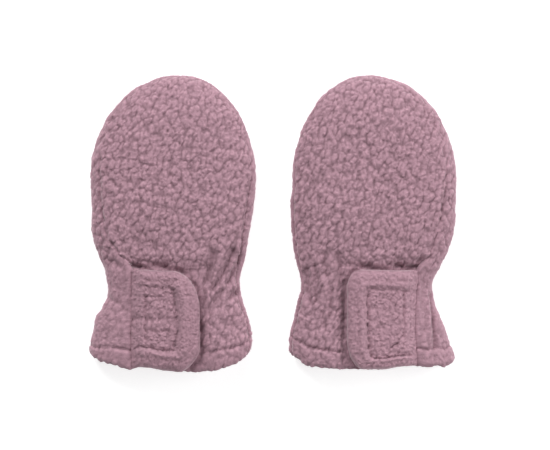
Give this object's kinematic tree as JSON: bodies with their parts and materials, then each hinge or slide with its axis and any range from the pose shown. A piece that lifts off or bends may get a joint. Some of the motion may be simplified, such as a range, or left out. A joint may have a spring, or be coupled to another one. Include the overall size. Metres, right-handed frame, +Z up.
{
  "type": "pair of baby mittens",
  "caption": "Pair of thumbless baby mittens in curly wool fleece, with gathered wrists and wide closing flaps across the cuffs, laid flat side by side.",
  "frame": {"origin": "middle of the pair's underside, on the surface it lies on", "axes": "+X across the pair, to the right in the picture; +Y along the mittens, to the fingertips; +Z up out of the surface, towards the flaps"},
  "size_m": [0.1973, 0.1592, 0.0188],
  "materials": {
    "curly_wool": "curly pile wool fleece, matte",
    "flap_wool": "pressed wool fleece with short pile, matte",
    "hook_tape": "woven hook tape, matte"
  },
  "bodies": {
    "root": {"left_back_panel": "curly_wool", "left_front_panel": "curly_wool", "left_closing_flap": "flap_wool", "left_hook_patch": "hook_tape", "right_back_panel": "curly_wool", "right_front_panel": "curly_wool", "right_closing_flap": "flap_wool", "right_hook_patch": "hook_tape"}
  },
  "joints": []
}
